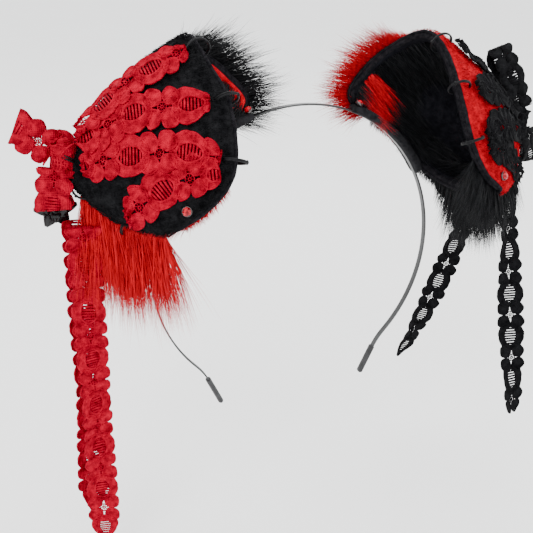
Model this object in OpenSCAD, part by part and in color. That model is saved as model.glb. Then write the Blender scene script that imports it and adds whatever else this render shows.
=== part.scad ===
// Animal ears headband: a slim flat spring band with rubber end tips, and two cupped
// fur ears that slide on it. Lace ribbons run over each ear to a bow at its tip, and
// lace tails hang from the bows. Lengths are in millimetres, +Z is up, -Y is the front,
// and the origin is the centre of the band's arc. The left ear is at -X.

/* [Headband] */
// Diameter that the band closes on, across its inner face
band_d = 125; // [110:1:150]
// Width of the band, front to back
band_w = 2.4; // [2:0.1:6]
// Thickness of the band
band_t = 0.7; // [0.5:0.1:1.2]
// Angle that each arm of the band wraps below the horizontal
arm_wrap = 43.5; // [25:0.5:50]
// Radius of the outward bend at each end of the band
flare_r = 30; // [15:1:50]
// Angle of the outward bend at each end
flare_angle = 18; // [8:1:30]
// Length of each rubber end tip
tip_l = 14; // [10:0.5:25]
// Width of each rubber end tip, front to back
tip_w = 3.4; // [3.2:0.1:8]
// Thickness of each rubber end tip
tip_t = 2.3; // [1.8:0.1:4]

/* [Ears] */
// Angle up from the horizontal, on the far side, at which each ear sits on the band
seat_angle = 130; // [115:1:140]
// Length of an ear, from its opening to its tip
ear_len = 70; // [55:1:90]
// Depth of an ear, front to back
ear_depth = 60; // [45:1:80]
// Height of an ear above the band
ear_h = 50; // [40:1:70]
// Thickness of the stiff interlining
core_t = 1.2; // [0.8:0.1:2]
// Thickness of the short-pile front panel
panel_t = 1.5; // [1:0.1:3]
// Thickness of the long-pile fur panels, backing only
fur_t = 1.8; // [1:0.1:3]
// Thickness of the lining inside the cup
lining_t = 1.5; // [1:0.1:2.5]
// Diameter of the corded edge around the opening
edge_d = 3; // [2.4:0.1:5]
// Length of the felt saddle along the band
saddle_l = 44; // [30:1:60]
// Width of the felt saddle, front to back
saddle_w = 9; // [7:0.5:16]
// Height of the felt saddle above the band's inner face
saddle_h = 3.5; // [2.5:0.1:6]

/* [Lace and trimmings] */
// Width of the lace ribbon
lace_w = 12; // [8:0.5:20]
// Thickness of the lace ribbon
lace_t = 0.5; // [0.3:0.1:1]
// Height of a lace ribbon's fabric above the next one down, between their faces
lace_gap = 0.3; // [0.3:0.1:1]
// Width of the pointed end of a lace tail, measured along the ribbon
point_l = 16; // [8:1:30]
// Length of the front lace tail on the left
left_tail_l = 140; // [80:1:200]
// Length of the rear lace tail on the left
left_rear_tail_l = 128; // [80:1:200]
// Length of the front lace tail on the right
right_tail_l = 110; // [80:1:200]
// Length of the rear lace tail on the right
right_rear_tail_l = 106; // [80:1:200]
// Size of each bow's knot
knot_d = 9; // [6:0.5:14]
// Length of a bow loop
bow_l = 14; // [10:1:32]
// Length of the tall upper loop of the right bow
tall_loop_l = 28; // [14:1:36]
// Diameter of the waxed thread
thread_d = 0.7; // [0.5:0.1:1.2]
// Diameter of a thread loop, centre to centre
thread_loop_d = 9; // [6:0.5:14]
// Diameter of a faceted stud
stud_d = 4.2; // [3:0.1:8]
// Diameter of a rosette beside a bow
rosette_d = 15; // [10:0.5:22]

/* [Fits] */
// Clearance between a saddle's groove and the band
slide_gap = 0.12; // [0.08:0.01:0.3]
// Clearance between two layers of fabric
layer_gap = 0.3; // [0.3:0.05:0.6]
// Depth by which stitched pieces sink into each other
stitch_depth = 0.4; // [0.2:0.1:0.8]

/* [Hidden] */

$fn = 48;
band_r = band_d / 2;
bevel = band_t * 0.35;      // bevelled edges of the band, which the saddle's lips hold
arc_start = -arm_wrap;
arc_end = 180 + arm_wrap;

// Shape of an ear in fractions of its length (X), depth (Y) and height (Z), measured from
// the middle of its seat: X runs along the band to the middle of the head, Z away from it.
EAR_TIP = [-0.58, -0.20, 0.71];
// Opening of the cup from its top, round the front and the underside to the seat
RIM_FRONT = [
    [0.29, -0.17, 0.74], [0.24, -0.39, 0.64], [0.16, -0.62, 0.42], [-0.02, -0.77, 0.17],
    [-0.20, -0.78, 0.09], [-0.41, -0.70, 0.10], [-0.43, -0.37, -0.01]
];
// Opening of the cup from the seat up its middle side
RIM_BACK = [[0.36, 0.08, 0.31], [0.30, 0.03, 0.64]];
// Fullness of the cup half way to its tip, for each point of the opening
FULLNESS = [
    [-0.10, -0.12, 0.87], [-0.13, -0.32, 0.83], [-0.19, -0.48, 0.73], [-0.29, -0.62, 0.56],
    [-0.43, -0.64, 0.39], [-0.59, -0.54, 0.33], [-0.64, -0.30, 0.18], [-0.54, 0.03, 0.16],
    [-0.31, 0.33, 0.20], [-0.06, 0.37, 0.32], [0.06, 0.30, 0.61], [-0.02, 0.10, 0.83]
];
// Routes of the lace over the front panel: place round the opening, and from tip to opening
LACE_ROUTES = [
    [[0.5, 0.19], [0.55, 0.37], [0.6, 0.57], [0.7, 0.75], [0.8, 0.93]],
    [[1.5, 0.17], [1.58, 0.33], [1.7, 0.54], [1.9, 0.73], [2.0, 0.91]],
    [[3.2, 0.17], [2.9, 0.31], [2.85, 0.50], [2.8, 0.72], [2.9, 0.93]],
    [[4.8, 0.61], [4.2, 0.62], [3.6, 0.68], [3.35, 0.80], [3.2, 0.94]]
];

// ---- Curves and surfaces -------------------------------------------------------------

function unit(v) = v / norm(v);
function lerp(a, b, t) = a + (b - a) * t;
function scaled(p) = [p.x * ear_len, p.y * ear_depth, p.z * ear_h];

// Point of the seat at a length along the band, at a height above the saddle
function seat_point(along, y, lift) =
    let (a = along / band_r * 180 / PI, r = band_r + saddle_h + lift)
    [r * sin(a), y, r * cos(a) - band_r];

// Smooth curve through a list of points, closed or open, at place s counted in points
function closed_curve(pts, s) =
    let (n = len(pts), w = s - n * floor(s / n), i = floor(w))
    blend4(pts[(i + n - 1) % n], pts[i % n], pts[(i + 1) % n], pts[(i + 2) % n], w - i);
function open_curve(pts, s) =
    let (n = len(pts), i = max(0, min(floor(s), n - 2)))
    blend4(pts[max(i - 1, 0)], pts[i], pts[i + 1], pts[min(i + 2, n - 1)], s - i);
function blend4(a, b, c, d, t) =
    (2 * b + (c - a) * t + (2 * a - 5 * b + 4 * c - d) * t * t
        + (3 * b - a - 3 * c + d) * t * t * t) / 2;

cord_lift = edge_d / 2 - stitch_depth;
RIM = concat(
    [for (p = RIM_FRONT) scaled(p)],
    [seat_point(-saddle_l / 2, 0, cord_lift), seat_point(0, 3, cord_lift),
     seat_point(saddle_l / 2, 3, cord_lift)],
    [for (p = RIM_BACK) scaled(p)]
);
TIP = scaled(EAR_TIP);
FULL = [for (p = FULLNESS) scaled(p)];

// The cup: s goes round the opening, v from the tip at 0 to the opening at 1
function cup(s, v) =
    (1 - v) * (1 - v) * TIP + 2 * v * (1 - v) * closed_curve(FULL, s)
        + v * v * closed_curve(RIM, s);
function cup_normal(s, v) =
    unit(cross(cup(s + 0.05, v) - cup(s - 0.05, v), cup(s, v + 0.02) - cup(s, v - 0.02)));
// A point at height d outside the cup
function skin(s, v, d) = cup(s, v) + d * cup_normal(s, v);

S_TOP = 0;      // places round the opening: its top,
S_UNDER = 5.5;  // the corner between the front panel and the underside,
S_BACK = 8.5;   // the middle of the seat,
S_ROUND = 12;   // and once round
tip_v = 0.14;   // where the layers stop, inside the gathered tip

// ---- Solids from grids of points -----------------------------------------------------

function flat_list(rows) = [for (row = rows) for (p = row) p];

// A closed solid between two grids of points of one size, open or closed across the rows
module slab(top, bottom, wrap = false) {
    rows = len(top);
    cols = len(top[0]);
    n = rows * cols;
    last = wrap ? cols - 1 : cols - 2;
    function at(i, j) = i * cols + j % cols;
    skins = [for (i = [0:rows - 2]) for (j = [0:last])
        let (a = at(i, j), b = at(i, j + 1), c = at(i + 1, j + 1), d = at(i + 1, j))
        each [[a, c, b], [a, d, c], [n + a, n + b, n + c], [n + a, n + c, n + d]]];
    ends = [for (j = [0:last])
        let (a = at(0, j), b = at(0, j + 1), c = at(rows - 1, j), d = at(rows - 1, j + 1))
        each [[a, n + b, n + a], [a, b, n + b], [c, n + d, d], [c, n + c, n + d]]];
    sides = wrap ? [] : [for (i = [0:rows - 2])
        let (a = at(i, 0), b = at(i + 1, 0), c = at(i, cols - 1), d = at(i + 1, cols - 1))
        each [[a, n + b, b], [a, n + a, n + b], [c, d, n + d], [c, n + d, n + c]]];
    polyhedron(concat(flat_list(top), flat_list(bottom)), concat(skins, ends, sides));
}

// A piece of the cup between two heights, from s0 to s1 and v0 to v1
module cup_piece(s0, s1, v0, v1, low, high, cols, rows) {
    function grid(d) = [for (i = [0:rows])
        [for (j = [0:cols]) skin(lerp(s0, s1, j / cols), lerp(v0, v1, i / rows), d)]];
    slab(grid(high), grid(low));
}

// A round tube through a list of points, closed on itself
module ring_tube(pts, d, sides = 8) {
    n = len(pts);
    function along(i) = unit(pts[(i + 1) % n] - pts[(i + n - 1) % n]);
    function across(i) = unit(cross(along(i), pts[i] - TIP));
    rings = [for (i = [0:n - 1])
        let (u = across(i), w = cross(along(i), u))
        [for (k = [0:sides - 1])
            pts[i] + d / 2 * (cos(360 * k / sides) * u + sin(360 * k / sides) * w)]];
    faces = [for (i = [0:n - 1]) for (k = [0:sides - 1])
        let (a = i * sides + k, b = i * sides + (k + 1) % sides,
             c = ((i + 1) % n) * sides + (k + 1) % sides, e = ((i + 1) % n) * sides + k)
        each [[a, c, b], [a, e, c]]];
    polyhedron(flat_list(rings), faces);
}

// A flat ribbon along a smooth route, which keeps one width direction. A cut over zero
// makes its far end pointed, by that length.
module ribbon(route, across, thick, cut = 0, rows = 20) {
    cols = 4;
    length = norm(route[len(route) - 1] - route[0]);
    function place(i, j) = (len(route) - 1) * i / rows * (1 - cut / length * j / cols);
    function at(i, j, d) =
        let (s = place(i, j), p = open_curve(route, s),
             t = unit(open_curve(route, s + 0.05) - open_curve(route, s - 0.05)),
             n = unit(cross(t, across)), w = cross(n, t))
        p + w * lace_w * (j / cols - 0.5) + n * d;
    function grid(d) = [for (i = [0:rows]) [for (j = [0:cols]) at(i, j, d)]];
    slab(grid(-thick / 2), grid(thick / 2));
}

// ---- Headband ------------------------------------------------------------------------

// Section of the band, radius by width, grown by a clearance. Its inner edges are bevelled.
module band_section(grow = 0) {
    half = band_w / 2 + grow;
    polygon([
        [band_r, -half + bevel], [band_r + bevel, -half], [band_r + band_t + grow, -half],
        [band_r + band_t + grow, half], [band_r + bevel, half], [band_r, half - bevel]
    ]);
}

module about_y() {
    rotate([90, 0, 0]) children();
}

// Moves to the axis of the outward bend at the end of the left arm
module at_bend() {
    about_y() rotate(arc_end) translate([band_r + flare_r, 0, 0]) rotate(180) children();
}

// The outward bend at the end of the left arm, with the bare end that the tip covers
module arm_end() {
    at_bend()
        rotate(-flare_angle)
            rotate_extrude(angle = flare_angle + 0.01, $fn = 180)
                translate([flare_r + band_r, 0])
                    mirror([1, 0])
                        band_section();
    at_tip()
        translate([-band_t, -band_w / 2, -0.01])
            cube([band_t, band_w, tip_l / 2]);
}

// Moves to the end of the bend, with +Z along the tip and the band's inner face at X = 0
module at_tip() {
    at_bend() rotate(-flare_angle) translate([flare_r, 0, 0]) rotate([90, 0, 0]) children();
}

module headband() {
    color([0.03, 0.03, 0.035]) {
        about_y()
            rotate(arc_start)
                rotate_extrude(angle = arc_end - arc_start, $fn = 180)
                    band_section();
        arm_end();
        mirror([1, 0, 0]) arm_end();
    }
}

// An oval rubber sleeve with a round end, moulded over the bare end of the band
module end_tip() {
    round_l = tip_t / 2;
    color([0.05, 0.05, 0.055])
        at_tip()
            translate([-band_t / 2, 0, 0])
                difference() {
                    union() {
                        linear_extrude(tip_l - round_l)
                            resize([tip_t, tip_w]) circle(d = tip_t, $fn = 24);
                        translate([0, 0, tip_l - round_l])
                            resize([tip_t, tip_w, tip_t]) sphere(d = tip_t, $fn = 24);
                    }
                    translate([-band_t / 2, -band_w / 2, -1])
                        cube([band_t, band_w, tip_l / 2 + 1 - 0.01]);
                }
}

// ---- Ear pieces, each drawn for the left ear -----------------------------------------

// Stands an ear on its seat on the band
module on_seat() {
    rotate([0, 90 - seat_angle, 0]) translate([0, 0, band_r]) children();
}
function off_seat(p) =
    let (a = seat_angle - 90, z = p.z + band_r)
    [p.x * cos(a) - z * sin(a), p.y, p.x * sin(a) + z * cos(a)];

module saddle() {
    span = saddle_l / band_r * 180 / PI;
    color([0.05, 0.05, 0.05])
        about_y()
            rotate(seat_angle - span / 2)
                rotate_extrude(angle = span, $fn = 180)
                    difference() {
                        translate([band_r + slide_gap / 2, -saddle_w / 2])
                            square([saddle_h - slide_gap / 2, saddle_w]);
                        band_section(slide_gap);
                    }
}

module core() {
    rows = 7;
    cols = 28;
    function grid(d) = [for (i = [0:rows])
        [for (j = [0:cols - 1]) skin(S_ROUND * j / cols, lerp(tip_v, 1, i / rows), d)]];
    color([0.85, 0.85, 0.82]) on_seat() slab(grid(0), grid(-core_t), wrap = true);
}

panel_low = layer_gap;
panel_top = layer_gap + panel_t;
fur_top = layer_gap + fur_t;
seam = 0.06;    // half the seam between two panels, in places round the opening

module front_panel(paint) {
    color(paint) on_seat()
        cup_piece(S_TOP - 0.5 + seam, S_UNDER - seam, tip_v, 0.97, panel_low, panel_top, 18, 9);
}

module under_fur(paint) {
    color(paint) on_seat()
        cup_piece(S_UNDER + seam, S_BACK - seam, tip_v, 0.96, panel_low, fur_top, 12, 9);
}

module back_fur(paint) {
    color(paint) on_seat()
        cup_piece(S_BACK + seam, S_ROUND - 0.5 - seam, tip_v, 0.96, panel_low, fur_top, 12, 9);
}

// The lining: the cup's inner wall, closed across its depth at v = lining_v
lining_v = 0.5;
module lining(paint) {
    rows = 6;
    disc = 4;
    cols = 28;
    near = -core_t - layer_gap;
    far = near - lining_t;
    function centre(pts) = [for (p = pts) 1] * pts / len(pts);
    c = centre([for (j = [0:cols - 1]) skin(S_ROUND * j / cols, lining_v, near)]);
    axis = unit(centre(RIM) - c);
    function wall(d) = [for (i = [0:rows])
        [for (j = [0:cols - 1]) skin(S_ROUND * j / cols, lerp(lining_v, 0.97, i / rows), d)]];
    function floor_rows(d, lift) = [for (i = [0:disc - 1])
        [for (j = [0:cols - 1])
            lerp(c + axis * lift, skin(S_ROUND * j / cols, lining_v, d), lerp(0.04, 1, i / disc))]];
    color(paint) on_seat()
        slab(concat(floor_rows(near, 0), wall(near)), concat(floor_rows(far, lining_t), wall(far)),
            wrap = true);
}

// The corded edge, which holds the layers together round the opening
module edge_cord(paint) {
    turns = 48;
    function at(s) =
        let (out = unit(cup(s, 1) - cup(s, 0.96)))
        skin(s, 1, -core_t / 2) + out * (edge_d / 2 - stitch_depth);
    color(paint) on_seat() ring_tube([for (i = [0:turns - 1]) at(S_ROUND * i / turns)], edge_d);
}

// Steps round and along the cup that move a point by w, which lies in the surface
function surface_step(s, v, w) =
    let (a = (cup(s + 0.05, v) - cup(s - 0.05, v)) / 0.1,
         b = (cup(s, v + 0.02) - cup(s, v - 0.02)) / 0.04,
         det = (a * a) * (b * b) - (a * b) * (a * b))
    [((w * a) * (b * b) - (w * b) * (a * b)) / det, ((w * b) * (a * a) - (w * a) * (a * b)) / det];

// A lace ribbon on the front panel, gathered to under its full width at its two ends
module lace_band(k, paint) {
    route = LACE_ROUTES[k];
    rows = 16;
    cols = 4;
    low = panel_top + layer_gap + (len(LACE_ROUTES) - 1 - k) * (lace_t + lace_gap);
    function gather(t) = 1 - 0.5 * pow(1 - min(1, 4 * min(t, 1 - t)), 2);
    function at(t, side, d) =
        let (q = (len(route) - 1) * t, c = open_curve(route, q),
             p = cup(c.x, c.y), n = cup_normal(c.x, c.y),
             e = open_curve(route, q + 0.05), f = open_curve(route, q - 0.05),
             w = unit(cross(cup(e.x, e.y) - cup(f.x, f.y), n)),
             step = surface_step(c.x, c.y, w * side * gather(t) * lace_w / 2))
        skin(c.x + step.x, max(0.09, min(c.y + step.y, 0.99)), d);
    function grid(d) = [for (i = [0:rows])
        [for (j = [0:cols]) at(i / rows, 2 * j / cols - 1, d)]];
    color(paint) on_seat() slab(grid(low + lace_t), grid(low));
}

// Waxed thread loops, at the gathered ends of the lace and round the neck of the bow
module thread_loop(p, dir, d) {
    translate(p)
        rotate([0, acos(dir.z / norm(dir)), atan2(dir.y, dir.x)])
            rotate_extrude($fn = 32)
                translate([d / 2, 0])
                    circle(d = thread_d, $fn = 16);
}

module threads() {
    color([0.02, 0.02, 0.02]) on_seat() {
        for (s = [0.6, 1.9, 2.9])
            thread_loop(cup(s, 1), cup(s + 0.05, 1) - cup(s - 0.05, 1), thread_loop_d);
        thread_loop(cup(S_UNDER, 0.62), cup(S_UNDER, 0.64) - cup(S_UNDER, 0.6), thread_loop_d);
        thread_loop(cup(5, 0.2), cup(3.5, 0.2) - cup(6.5, 0.2), thread_loop_d);
    }
}

// A stud: a faceted dome on a round collar
module stud(p, dir) {
    translate(p)
        rotate([0, acos(dir.z / norm(dir)), atan2(dir.y, dir.x)]) {
            cylinder(h = stud_d * 0.2, d = stud_d * 0.9, $fn = 24);
            translate([0, 0, stud_d * 0.2])
                cylinder(h = stud_d * 0.25, d1 = stud_d, d2 = stud_d * 0.55, $fn = 8);
        }
}

module studs() {
    color([0.7, 0.02, 0.06]) on_seat() {
        stud(skin(4.3, 0.9, panel_top), cup_normal(4.3, 0.9));
        stud(seat_point(saddle_l / 2 - 1, -saddle_w / 4, 0.05), [0, 0, 1]);
    }
}

// ---- Bows and tails ------------------------------------------------------------------

// Middle of a bow's knot, just past the ear's tip. Its side next to the ear stays clear
// of the front panel, whatever its size and the panel's thickness.
knot_back = 4.5;    // how far the knot reaches back past the tip
knot_rise = 2.6;    // height of the knot's middle over the panel's face
KNOT = off_seat(TIP) + [knot_back - knot_d / 2, -2, layer_gap + panel_t + knot_rise];

module knot(paint) {
    color(paint)
        translate(KNOT)
            difference() {
                resize([knot_d, knot_d, knot_d * 1.2]) sphere(d = knot_d, $fn = 24);
                translate([0, 0, -knot_d * 0.6]) cube(knot_d * 0.3, center = true);
            }
}

// A flattened loop of ribbon that starts and ends in the knot
module bow_loop(start, dir, across, reach, paint) {
    n = unit(cross(dir, across));
    fold = 2.2;
    turn = unit(dir);
    color(paint)
        translate(KNOT + start)
            ribbon([
                -n * 0.6, turn * reach * 0.35 - n * fold, turn * reach * 0.8 - n * fold,
                turn * reach, turn * reach * 0.8 + n * fold, turn * reach * 0.35 + n * fold,
                n * 0.6
            ], across, lace_t, rows = 18);
}

// Round petals about a raised centre, on a flat back
module rosette() {
    petals = 6;
    color([0.03, 0.03, 0.03])
        translate(KNOT + [-3.2, 8, -19.5])
            rotate([90, 0, 0]) {
                cylinder(h = 1.2, d = rosette_d * 0.6);
                for (i = [0:petals - 1])
                    rotate(360 * i / petals + 11)
                        translate([rosette_d * 0.33, 0, 0.4])
                            cylinder(h = 1.6, d = rosette_d * 0.31);
                rotate(17) translate([0, 0, 0.8]) cylinder(h = 2.5, d = rosette_d * 0.28);
            }
}

// A lace tail that hangs from a point below the knot by a length, and leans as it hangs
module tail(top, length, lean, paint) {
    wave = 1.2;
    steps = 6;
    color(paint)
        ribbon([for (i = [0:steps])
            let (t = i / steps)
            top + [lean.x * t * t, lean.y * t + wave * sin(240 * t), -length * t]],
            [1, 0, 0], lace_t, cut = point_l, rows = 20);
}

module mirrored() {
    mirror([1, 0, 0]) children();
}

RED_LACE = [0.80, 0.02, 0.10];
BLACK_LACE = [0.04, 0.04, 0.05];
RED_FUR = [0.65, 0.01, 0.03];
BLACK_FUR = [0.03, 0.03, 0.04];

headband();
end_tip();  // left_end_tip
mirrored() end_tip();  // right_end_tip

saddle();  // left_saddle
core();  // left_core
front_panel(BLACK_FUR);  // left_front_panel
under_fur(RED_FUR);  // left_under_fur
back_fur(BLACK_FUR);  // left_back_fur
lining(RED_FUR);  // left_lining
edge_cord(BLACK_FUR);  // left_edge_cord
lace_band(0, RED_LACE);  // left_lace_1
lace_band(1, RED_LACE);  // left_lace_2
lace_band(2, RED_LACE);  // left_lace_3
lace_band(3, RED_LACE);  // left_lace_4
threads();  // left_threads
studs();  // left_studs
bow_loop([-3, 0, 2], [-0.79, 0, 0.61], [-0.45, 0, -0.89], bow_l, RED_LACE);  // left_bow_loop_up
bow_loop([-3, -2, -3.5], [-0.15, -0.1, -1], [1, -0.3, 0], bow_l, RED_LACE);  // left_bow_loop_down
knot(RED_LACE);  // left_bow_knot
rosette();  // left_rosette
tail(KNOT + [3.3, -7, -22.5], left_tail_l, [-0.5, 2, 0], RED_LACE);  // left_tail
tail(KNOT + [3.3, 1, -22.5], left_rear_tail_l, [-3.5, 0, 0], RED_LACE);  // left_rear_tail

mirrored() saddle();  // right_saddle
mirrored() core();  // right_core
mirrored() front_panel(RED_FUR);  // right_front_panel
mirrored() under_fur(BLACK_FUR);  // right_under_fur
mirrored() back_fur(RED_FUR);  // right_back_fur
mirrored() lining(BLACK_FUR);  // right_lining
mirrored() edge_cord(BLACK_FUR);  // right_edge_cord
mirrored() lace_band(0, BLACK_LACE);  // right_lace_1
mirrored() lace_band(1, BLACK_LACE);  // right_lace_2
mirrored() lace_band(2, BLACK_LACE);  // right_lace_3
mirrored() lace_band(3, BLACK_LACE);  // right_lace_4
mirrored() threads();  // right_threads
mirrored() studs();  // right_studs
mirrored()  // right_bow_loop_up
        bow_loop([-4, 3, 4], [0.33, 0.3, 0.9], [1, 0, -0.2], tall_loop_l, BLACK_LACE);
mirrored()  // right_bow_loop_down
        bow_loop([-3, -2, -3.5], [-0.2, -0.1, -1], [1, -0.3, 0], bow_l, BLACK_LACE);
mirrored() knot(BLACK_LACE);  // right_bow_knot
mirrored() rosette();  // right_rosette
mirrored() tail(KNOT + [4, -4, -22.5], right_tail_l, [6, -32, 0], BLACK_LACE);  // right_tail
mirrored() tail(KNOT + [4, 13, -22.5], right_rear_tail_l, [27.5, 17, 0], BLACK_LACE);  // right_rear_tail
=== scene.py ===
import math

import bpy
import numpy as np
from mathutils import Matrix, Vector


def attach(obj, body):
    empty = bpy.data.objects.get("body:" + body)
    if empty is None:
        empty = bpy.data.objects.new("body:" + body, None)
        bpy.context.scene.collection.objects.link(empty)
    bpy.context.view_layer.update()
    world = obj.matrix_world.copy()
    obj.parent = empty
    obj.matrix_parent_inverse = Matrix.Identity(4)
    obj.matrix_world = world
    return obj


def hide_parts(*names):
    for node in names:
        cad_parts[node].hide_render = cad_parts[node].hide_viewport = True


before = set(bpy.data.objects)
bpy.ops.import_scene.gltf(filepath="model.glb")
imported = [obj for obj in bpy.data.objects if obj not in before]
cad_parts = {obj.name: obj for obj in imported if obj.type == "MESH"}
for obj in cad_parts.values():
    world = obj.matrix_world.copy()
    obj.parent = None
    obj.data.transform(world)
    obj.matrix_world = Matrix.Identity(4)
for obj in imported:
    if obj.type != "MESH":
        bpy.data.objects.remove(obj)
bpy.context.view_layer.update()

MM = 0.001

# ---- Sizes of the solids, in millimetres ----------------------------------------------
BAND_R = 62.5
SEAT_ANGLE = math.radians(130 - 90)
EAR_SIZE = np.array([70.0, 60.0, 50.0])
CORE_T = 1.2
PANEL_T = 1.5
FUR_T = 1.8
EDGE_D = 3.0
SADDLE_L, SADDLE_W, SADDLE_H = 44.0, 9.0, 3.5
LACE_W = 12.0
# Length over which a hanging tail narrows to its point
POINT_L = 16.0
LAYER_GAP = 0.3
STITCH = 0.4
PANEL_TOP = LAYER_GAP + PANEL_T
FUR_TOP = LAYER_GAP + FUR_T
# Where the skins stop short of the ear's tip, and of each other at a seam
TIP_V = 0.05
SEAM = 0.06
# Places on the ear: s counts the rim's points round the opening, v goes from the tip, 0, to the rim, 1
ROUND = 12
PANEL_S, UNDER_S, BACK_S = (-0.5, 5.5), (5.5, 8.5), (8.5, 11.5)
# Points of the ear's outline and fullness, as shares of EAR_SIZE
EAR_TIP = [-0.58, -0.20, 0.71]
RIM_FRONT = [
    [0.29, -0.17, 0.74], [0.24, -0.39, 0.64], [0.16, -0.62, 0.42], [-0.02, -0.77, 0.17],
    [-0.20, -0.78, 0.09], [-0.41, -0.70, 0.10], [-0.43, -0.37, -0.01],
]
RIM_BACK = [[0.36, 0.08, 0.31], [0.30, 0.03, 0.64]]
FULLNESS = [
    [-0.10, -0.12, 0.87], [-0.13, -0.32, 0.83], [-0.19, -0.48, 0.73], [-0.29, -0.62, 0.56],
    [-0.43, -0.64, 0.39], [-0.59, -0.54, 0.33], [-0.64, -0.30, 0.18], [-0.54, 0.03, 0.16],
    [-0.31, 0.33, 0.20], [-0.06, 0.37, 0.32], [0.06, 0.30, 0.61], [-0.02, 0.10, 0.83],
]
# Each band's run over the front panel, as places (s, v)
LACE_ROUTES = [
    [[0.5, 0.19], [0.55, 0.37], [0.6, 0.57], [0.7, 0.75], [0.8, 0.93]],
    [[1.5, 0.17], [1.58, 0.33], [1.7, 0.54], [1.9, 0.73], [2.0, 0.91]],
    [[3.2, 0.17], [2.9, 0.31], [2.85, 0.50], [2.8, 0.72], [2.9, 0.93]],
    [[4.8, 0.61], [4.2, 0.62], [3.6, 0.68], [3.35, 0.80], [3.2, 0.94]],
]
DOWN = np.array([0.0, 0.0, -1.0])


# ---- The ear's surface ----------------------------------------------------------------
def unit(v):
    v = np.asarray(v, float)
    return v / np.maximum(np.linalg.norm(v, axis=-1, keepdims=True), 1e-9)


def blend4(a, b, c, d, t):
    return (2 * b + (c - a) * t + (2 * a - 5 * b + 4 * c - d) * t * t
            + (3 * b - a - 3 * c + d) * t ** 3) / 2


def closed_curve(pts, s):
    n = len(pts)
    w = np.mod(s, n)
    i = np.floor(w).astype(int) % n
    t = (w - np.floor(w))[..., None]
    return blend4(pts[(i - 1) % n], pts[i], pts[(i + 1) % n], pts[(i + 2) % n], t)


def open_curve(pts, s):
    pts = np.asarray(pts, float)
    n = len(pts)
    s = np.asarray(s, float)
    i = np.clip(np.floor(s).astype(int), 0, n - 2)
    t = (s - i)[..., None]
    return blend4(pts[np.maximum(i - 1, 0)], pts[i], pts[i + 1], pts[np.minimum(i + 2, n - 1)], t)


def seat_point(along, y, lift):
    a, r = along / BAND_R, BAND_R + SADDLE_H + lift
    return [r * math.sin(a), y, r * math.cos(a) - BAND_R]


CORD_LIFT = EDGE_D / 2 - STITCH
RIM = np.array(
    [list(np.array(p) * EAR_SIZE) for p in RIM_FRONT]
    + [seat_point(-SADDLE_L / 2, 0, CORD_LIFT), seat_point(0, 3, CORD_LIFT),
       seat_point(SADDLE_L / 2, 3, CORD_LIFT)]
    + [list(np.array(p) * EAR_SIZE) for p in RIM_BACK]
)
TIP = np.array(EAR_TIP) * EAR_SIZE
FULL = np.array(FULLNESS) * EAR_SIZE


def cup(s, v):
    s, v = np.broadcast_arrays(np.asarray(s, float), np.asarray(v, float))
    w = v[..., None]
    return ((1 - w) ** 2 * TIP + 2 * w * (1 - w) * closed_curve(FULL, s)
            + w * w * closed_curve(RIM, s))


def cup_normal(s, v):
    return unit(np.cross(cup(s + 0.05, v) - cup(s - 0.05, v), cup(s, v + 0.02) - cup(s, v - 0.02)))


def skin(s, v, d):
    s, v, d = np.broadcast_arrays(*(np.asarray(q, float) for q in (s, v, d)))
    return cup(s, v) + d[..., None] * cup_normal(s, v)


def off_seat(p):
    p = np.asarray(p, float)
    c, s = math.cos(SEAT_ANGLE), math.sin(SEAT_ANGLE)
    z = p[..., 2] + BAND_R
    return np.stack([p[..., 0] * c - z * s, p[..., 1], p[..., 0] * s + z * c], -1)


def turn(d):
    """Turns a direction at the seat as off_seat turns a place."""
    c, s = math.cos(SEAT_ANGLE), math.sin(SEAT_ANGLE)
    return np.stack([d[..., 0] * c - d[..., 2] * s, d[..., 1], d[..., 0] * s + d[..., 2] * c], -1)


KNOT = off_seat(TIP) + np.array([0, -2, 4.4])


# ---- Making meshes --------------------------------------------------------------------
class Shape:
    """Vertices in millimetres, for the left side, and faces."""

    def __init__(self):
        self.v, self.f, self.n = [], [], 0

    def add(self, verts, faces):
        verts = np.asarray(verts, float).reshape(-1, 3)
        self.v.append(verts)
        self.f.extend([tuple(int(i) + self.n for i in f) for f in faces])
        self.n += len(verts)
        return self

    def verts(self):
        return np.concatenate(self.v)


def grid_faces(rows, cols, wrap=False, flip=False):
    out = []
    for i in range(rows - 1):
        for j in range(cols if wrap else cols - 1):
            k = (j + 1) % cols
            q = (i * cols + j, i * cols + k, (i + 1) * cols + k, (i + 1) * cols + j)
            out.append(q[::-1] if flip else q)
    return out


def slab(top, low, wrap=False):
    """A closed sheet between two grids of points."""
    r, c = top.shape[:2]
    n = r * c
    faces = grid_faces(r, c, wrap) + [tuple(n + i for i in f)
                                     for f in grid_faces(r, c, wrap, True)]
    last = c if wrap else c - 1
    for j in range(last):
        k = (j + 1) % c
        faces.append((n + j, n + k, k, j))
        a, b = (r - 1) * c + j, (r - 1) * c + k
        faces.append((a, b, n + b, n + a))
    if not wrap:
        for i in range(r - 1):
            a, b = i * c, (i + 1) * c
            faces.append((a, b, n + b, n + a))
            a, b = i * c + c - 1, (i + 1) * c + c - 1
            faces.append((n + a, n + b, b, a))
    return np.concatenate([top.reshape(-1, 3), low.reshape(-1, 3)]), faces


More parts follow.
